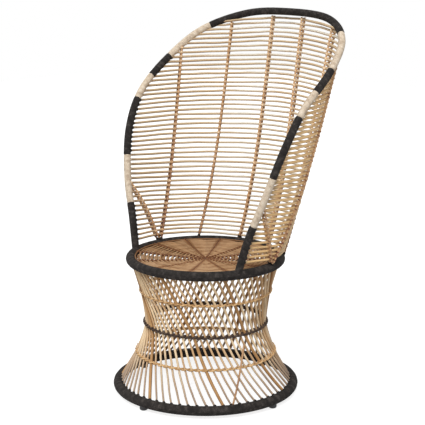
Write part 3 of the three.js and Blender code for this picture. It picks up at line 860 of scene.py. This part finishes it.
stakes = [
    {
        "name": "inner",
        "foot": 15.1,  # degrees round the seat ring
        "top": 0.956,  # place on the hoop
        "fall": 0.0,  # 0 where a cane has its height at the back, 1 where it has that at the hoop
        "setback": 0.012,  # of its top from the hoop
        "splay": 0.0,  # how far it bows outwards
        "ages": (0.0, 0.0),  # of the left pair and the right one, and an older pair is darker
    },
    {
        "name": "middle",
        "foot": 49.0,
        "top": 0.84,
        "fall": 0.65,
        "setback": 0.001,
        "splay": 0.0,
        "ages": (0.3, -0.05),
    },
    {
        "name": "outer",
        "foot": 82.6,
        "top": 0.68,
        "fall": 0.95,
        "setback": -0.003,
        "splay": 0.008,
        "ages": (0.4, -0.1),
    },
]
hoopStep = 1 / 32  # to find which way the hoop goes at a stake
for stake in stakes:
    top = hoopAt(stake["top"])
    ahead = hoopAt(stake["top"] + hoopStep) - top
    stake["footPoint"] = around(seatRing["radius"], stake["foot"], seatRing["height"])
    stake["topHeight"] = top.z - hoop["wrapRadius"]["charcoalCord"]
    stake["topPoint"] = top + Vector((-ahead.y, ahead.x, 0)).normalized() * stake["setback"]


def stakeAt(stake, height):
    start, end = stake["footPoint"], stake["topPoint"]
    share = (height - start.z) / (end.z - start.z)
    bow = 4 * share * (1 - share) * (1 + shell["skew"] * (1 - 2 * share))
    return start.lerp(end, share) + Vector((-stake["splay"] * bow, shell["bulge"] * bow, 0))


def rowHeight(row, fall):
    share = row / (shell["rows"] - 1)
    back = lerp(shell["firstBack"], seatToTop - shell["lastBackDrop"], share)
    front = lerp(shell["firstFront"], seatToTop - shell["lastFrontDrop"], share)
    return seatRing["height"] + lerp(back, front, fall)


def rowDip(row, share):
    depth = np.interp(row, *shell["dipRows"]) * np.interp(share, *shell["dipShares"])
    return shell["dip"] * float(depth)


def crossed(row):
    return [stake for stake in stakes if rowHeight(row, stake["fall"]) < stake["topHeight"]]


def bayCount(row):
    return 2 * len(crossed(row)) + 1


halvings = 24  # to find a height on the hoop


def hoopShareAt(height):
    low, high = 0.0, 1.0
    for halving in range(halvings):
        middle = (low + high) / 2
        low, high = (middle, high) if hoopAt(middle).z < height else (low, middle)
    return high


rowEndShares = {}  # of the hoop, by row and end, kept once found


def rowPoints(row, through):
    halves = []
    for end in (0, 1):
        if (row, end) not in rowEndShares:
            rowEndShares[row, end] = hoopShareAt(rowHeight(row, 1) - rowDip(row, end))
        half = [hoopAt(rowEndShares[row, end])]
        for i, stake in enumerate(reversed(through)):
            place = abs(end - (i + 1) / (2 * len(through) + 1))
            half.append(stakeAt(stake, rowHeight(row, stake["fall"]) - rowDip(row, place)))
        halves.append(half)
    return halves[0] + mirrored(halves[1])[::-1]


def wallStop(row, share):  # a place along a row, 0 at the left to 1, and the way out of the wall
    through = crossed(row)
    points = rowPoints(row, through)
    at = curvePoint(points, share)
    rise = curvePoint(rowPoints(row + 0.5, through), share) - at
    ahead = curvePoint(points, share + nudge) - curvePoint(points, share - nudge)
    return at, rise.cross(ahead).normalized()


def darkEnd(share):
    start, length, most = shell["darkEnds"]
    return most * smooth((abs(2 * share - 1) - start) / length)


rowSets = {"left": Strands(), "right": Strands()}
rowEnds = []
for row in range(shell["rows"]):
    steps = bayCount(row) * shell["stepsPerBay"] + 1
    sag, sway = Wander(*shell["sag"]), Wander(*shell["sway"])
    path, facing, tones = [], [], []
    ground, drift = dice.gauss(0, shell["toneSpread"]), Wander(*shell["toneDrift"])
    for i in range(steps):
        share = i / (steps - 1)
        at, out = wallStop(row, share)
        path.append(at + up * sag.at(share) + out * sway.at(share))
        facing.append(out)
        tone = float(np.interp(share, *shell["tones"])) + ground + drift.at(share)
        tones.append(min(max(tone, 0), 1) + darkEnd(share))
    rowEnds.append((rowEndShares[row, 0], (path[1] - path[0]).normalized()))
    rowEnds.append((2 - rowEndShares[row, 1], (path[-2] - path[-1]).normalized()))
    thicker = np.interp(np.linspace(0, 1, steps), *shell["thicken"]) - 1
    width = shell["caneRadius"] * dice.uniform(*shell["widths"])
    width = width * (1 + thicker * min(row / shell["thickenRows"], 1))
    owner = rowSets["left" if row % 2 else "right"]
    owner.add(path, facing, width, shell["sides"], tones, weather=shell["weather"])
rowSets["left"].make("backCanesLeft", cane["rowCane"], "back_canes_left", slot="cane_natural")
rowSets["right"].make("backCanesRight", cane["rowCane"], "back_canes_right", slot="cane_natural")
print("level canes hung:", shell["rows"])

# Stripes of cord on the hoop, which swell round each level cane that ends in them
stripeLooks = [("charcoalCord", "hoop_wrap_dark"), ("greigeCord", "hoop_wrap_light")]
for i, (first, last) in enumerate(zip(stripeEnds, stripeEnds[1:])):
    cordName, slot = stripeLooks[i % 2]
    outside = hoop["wrapRadius"][cordName]
    wrap = Strands()
    path = evenPath(first, last, winding["pitch"] / winding["stepsPerTurn"])
    steps = np.arange(len(path))
    fromEnd = np.minimum(steps, steps[::-1]) / winding["stepsPerTurn"]
    depth, length = hoop["drawnIn"]
    drawnIn = depth * np.clip(1 - fromEnd / length, 0, 1)[:, None] ** 2
    radius = woundRadius(outside, len(path)) - drawnIn
    wrap.add(path, hoopFacing, radius, winding["sides"], dice.random())
    for place, ahead in rowEnds:
        if first < place < last:
            swelling = [hoopAt(place) + ahead * (outside + rise) for rise in hoop["swellRise"]]
            wrap.add(swelling, hoopFacing, hoop["swellRadius"], hoop["swellSides"], dice.random())
    wrap.make(f"hoopWrap{i + 1:02d}", cord[cordName], f"hoop_wrap_{i + 1:02d}", slot=slot)
print("hoop wound, stripes:", len(stripeEnds) - 1)

# Stakes and braces: a rod before the canes and one behind, lashed crosswise at every cane
lashing = {
    "rod": 0.0030,
    "rodSides": 8,
    "rodStepsPerRow": 4,
    "rodTones": ((0.2, 0.5), (0.0, 0.3)),  # the rods before the canes are darker
    "rodShadows": (1.3, 0.6),  # painted shadow on the rods beside each cane, where the lashing and the canes shade them: how much at the foot and at the top
    "strip": (0.0019, 0.0023),  # between the canes and where it crosses one
    # painted shadow: a strip is darker between the canes, where it passes behind them, and pale
    # where it crosses over one
    "stripTone": (1.2, -0.1),
    "stripSpread": (0.1, 0.3),  # of the tone, from cane to cane
    "stripFoot": (0.8, 1.5),  # how much darker it is at the foot, and how soon that fades
    "darkest": 1.9,
    "knot": 1.5,  # how short the crossing is
    "flat": 0.5,
    "cling": 0.6,  # of a strip's thickness, from a rod to its middle
    "stepsPerRow": 12,
    "sides": 6,
    "firstRow": -0.5,
    "footRise": [-0.003, 0.000, 0.002, 0.0035],  # dark cord at each rod's foot, over the ring
    "footRadius": [0.0046, 0.0045, 0.0041, 0.0034],
    "footSides": 9,
    "footTone": 0.3,
}
bindings = Strands()


def stopAlong(stops, share):
    at = share * (len(stops) - 1)
    i = min(int(at), len(stops) - 2)
    (one, outOne), (two, outTwo) = stops[i : i + 2]
    return one.lerp(two, at - i), outOne.lerp(outTwo, at - i).normalized()


def aheadAlong(stops, share):
    one, two = max(share - nudge, 0), min(share + nudge, 1)
    return (stopAlong(stops, two)[0] - stopAlong(stops, one)[0]).normalized()


def flipped(stops):
    return [tuple(mirrored(stop)) for stop in stops]


def bindFoot(stops, offset):
    ringTop = seatRing["height"] + seatRing["tube"]
    heights = [at.z for at, out in stops]
    feet = []
    for rise in lashing["footRise"]:
        share = float(np.interp(ringTop + rise, heights, np.linspace(0, 1, len(stops))))
        at, out = stopAlong(stops, share)
        feet.append(at + out * offset)
    radius, sides = lashing["footRadius"], lashing["footSides"]
    bindings.add(feet, stops[0][1], radius, sides, lashing["footTone"])


def rodPair(name, stops, nodes, rows, age):
    rods = Strands()
    count = int((rows[1] - rows[0]) * lashing["rodStepsPerRow"])
    shares = [i / count for i in range(count + 1)]
    points, outs = zip(*(stopAlong(stops, share) for share in shares))
    # painted shadow on the rods between the lashing's crossings
    rodShade = np.array(
        [lerp(*lashing["rodShadows"], s) * abs(math.sin(math.tau * lerp(*rows, s))) for s in shares]
    )
    reach = shell["caneRadius"] + lashing["rod"]
    for offset, tones in zip((-reach, reach), lashing["rodTones"]):
        path = [p + o * offset for p, o in zip(points, outs)]
        tone = dice.uniform(*tones) + age + rodShade
        rods.add(path, list(outs), lashing["rod"], lashing["rodSides"], tone)
        bindFoot(stops, offset)
    rods.make(name + "Rods", cane["stakeCane"], *nodes, slot="cane_golden")


def lashStrips(name, stops, rows, age):
    lash = Strands()
    thickness = lashing["strip"][1] * lashing["flat"]
    reach = shell["caneRadius"] + 2 * lashing["rod"] + thickness * lashing["cling"]
    span = lashing["rod"] + thickness
    start = (lashing["firstRow"] - rows[0]) / (rows[1] - rows[0])
    count = int((rows[1] - lashing["firstRow"]) * lashing["stepsPerRow"])
    rowTones = [age + dice.gauss(*lashing["stripSpread"]) for row in range(shell["rows"] + 2)]
    footTone, fade = lashing["stripFoot"]
    for hand in (1, -1):
        path, facing, widths, tones = [], [], [], []
        for i in range(count):
            share = lerp(start, 1, i / (count - 1))
            row = lerp(*rows, share)
            at, out = stopAlong(stops, share)
            side = aheadAlong(stops, share).cross(out)
            cos, sin = math.cos(math.tau * row), math.sin(math.tau * row)
            path.append(at - out * (reach * cos) + side * (hand * span * sin))
            facing.append((side * (hand * sin) - out * cos).normalized())
            knot = (0.5 + 0.5 * cos) ** lashing["knot"]  # 1 where it crosses a cane
            widths.append(lerp(*lashing["strip"], knot))
            # painted shadow between the crossings, from the strip tone
            tone = rowTones[round(row) + 1] + lerp(*lashing["stripTone"], knot)
            tones.append(min(max(tone + footTone * (1 - share) ** fade, 0), lashing["darkest"]))
        lash.add(path, facing, widths, lashing["sides"], tones, flat=lashing["flat"])
    lash.make(name + "Lashing", cane["lashCane"], slot="cane_golden")


def lashedPair(name, stops, nodes, rows, age):
    rodPair(name, stops, nodes, rows, age)
    lashStrips(name, stops, rows, age)


stakeRun = {
    "steps": 40,
    "firstRow": -1.6,
    "past": 0.45,  # rows over the last that it crosses
}
for number, stake in enumerate(stakes):
    topRow = max(row for row in range(shell["rows"]) if stake in crossed(row))
    rows = (stakeRun["firstRow"], topRow + stakeRun["past"])
    left, right = [], []
    for i in range(stakeRun["steps"] + 1):
        row = lerp(*rows, i / stakeRun["steps"])
        onWall = min(max(row, 0), topRow)
        through = len(crossed(onWall))
        place = (through - number) / (2 * through + 1)
        out = wallStop(onWall, place)[1]
        height = rowHeight(row, stake["fall"])
        left.append((stakeAt(stake, height - rowDip(row, place)), out))
        right.append((stakeAt(stake, height - rowDip(row, 1 - place)), out))
    for side, stops, age in zip(("Left", "Right"), (left, flipped(right)), stake["ages"]):
        faces = ("rear",) if number == 0 else ("rear", "front")
        nodes = [f"stake_{stake['name']}_{face}_{side.lower()}" for face in faces]
        lashedPair(f"{stake['name']}Stake{side}", stops, nodes, rows, age)

brace = {
    "firstRow": -1.4,
    "topHeight": 0.6335,
    "besideStake": 0.010,
    "steps": 24,
    "ages": (0.15, -0.15),
}
rowPitch = rowHeight(1, 1) - rowHeight(0, 1)
rows = (brace["firstRow"], (brace["topHeight"] - rowHeight(0, 1)) / rowPitch)
firstBay = (wallStop(0, 0)[0] - wallStop(0, 1 / bayCount(0))[0]).length
besideStake = brace["besideStake"] / firstBay
braceStops = []
for i in range(brace["steps"] + 1):
    share = i / brace["steps"]
    row = lerp(*rows, share)
    place = lerp(1 - besideStake, 0, share) / bayCount(max(row, 0))
    at, out = wallStop(max(row, 0), place)
    if row < 0:
        at = at + up * (row * rowPitch + rowDip(0, place) - rowDip(row, place))
    braceStops.append((at, out))
for side, stops, age in zip(("Left", "Right"), (braceStops, flipped(braceStops)), brace["ages"]):
    nodes = [f"brace_{face}_{side.lower()}" for face in ("front", "rear")]
    lashedPair("brace" + side, stops, nodes, rows, age)
bindings.make("footBindings", cord["charcoalCord"], slot="wrapped_ring")
print("stakes and braces lashed")

# Floor, light and camera
floorLook = {
    "half": 7.0,  # of its side
    "colour": (0.4, 0.4, 0.4, 1),
    "roughness": 0.95,
    "seen": (0.78, 0.78, 0.78, 1),  # its glow where it is seen directly
    "unseen": (0.02, 0.02, 0.02, 1),  # and the glow that lights the chair
}
signs = ((-1, -1), (1, -1), (1, 1), (-1, 1))
corners = [(floorLook["half"] * x, floorLook["half"] * y, 0) for x, y in signs]
floorMesh = bpy.data.meshes.new("floor")
floorMesh.from_pydata(corners, [], [range(len(corners))])
floor = bpy.data.objects.new("floor", floorMesh)
bpy.context.scene.collection.objects.link(floor)


def seenDirectly(sheet):  # 1 for the camera and in reflections and through glass
    rays = ("Is Camera Ray", "Is Glossy Ray", "Is Transmission Ray")
    camera, glossy, through = (sheet.node("LightPath", {}, {}, ray) for ray in rays)
    return sheet.maths("MAXIMUM", camera, sheet.maths("MAXIMUM", glossy, through))


floorSheet = Sheet("paleFloor")
seen = seenDirectly(floorSheet)
floorSheet.feed(
    floorSheet.surface,
    {
        "Base Color": floorLook["colour"],
        "Roughness": floorLook["roughness"],
        "Emission Color": floorSheet.mix(seen, floorLook["unseen"], floorLook["seen"]),
        "Emission Strength": 1.0,
    },
)
floorMesh.materials.append(floorSheet.material)

light = {
    "world": 0.5,
    "keyFrom": (0.8, -1.2, 1.6),
    "keySpread": 32,  # degrees
    "keyStrength": 2.1,
    "fillFrom": (-1.6, -0.6, 0.9),
    "fillSpread": 60,
    "fillStrength": 0.4,
}


class Sky(Sheet):  # the world, with the same ways to add nodes
    def __init__(self, name):
        self.world = bpy.data.worlds.new(name)
        self.world.use_nodes = True
        self.tree = self.world.node_tree
        self.surface = self.tree.nodes["Background"]


sky = Sky("studio")
bpy.context.scene.world = sky.world
strength = seenDirectly(sky) * (1 - light["world"]) + light["world"]
sky.feed(sky.surface, {"Color": (1, 1, 1, 1), "Strength": strength})


def sun(name, towards, spread, strength):
    data = bpy.data.lights.new(name, "SUN")
    data.angle, data.energy = math.radians(spread), strength
    made = bpy.data.objects.new(name, data)
    made.rotation_euler = Vector(towards).to_track_quat("Z", "Y").to_euler()
    bpy.context.scene.collection.objects.link(made)


sun("key", light["keyFrom"], light["keySpread"], light["keyStrength"])
sun("fill", light["fillFrom"], light["fillSpread"], light["fillStrength"])

view = {
    "place": (2.662, axisY - 2.888, 1.4225),
    "turn": 42.353,  # degrees round from the front towards the right
    "down": 12.32,
    "lens": 111.05,
    "sensor": 36.0,
}
camera = bpy.data.objects.new("camera", bpy.data.cameras.new("camera"))
camera.data.lens = view["lens"]
camera.data.sensor_width = view["sensor"]
camera.location = view["place"]
turn, down = math.radians(view["turn"]), math.radians(view["down"])
level = math.cos(down)
looking = Vector((-math.sin(turn) * level, math.cos(turn) * level, -math.sin(down)))
camera.rotation_mode = "QUATERNION"
camera.rotation_quaternion = looking.to_track_quat("-Z", "Y")
bpy.context.scene.collection.objects.link(camera)
bpy.context.scene.camera = camera
bpy.context.scene.view_settings.view_transform = "Standard"
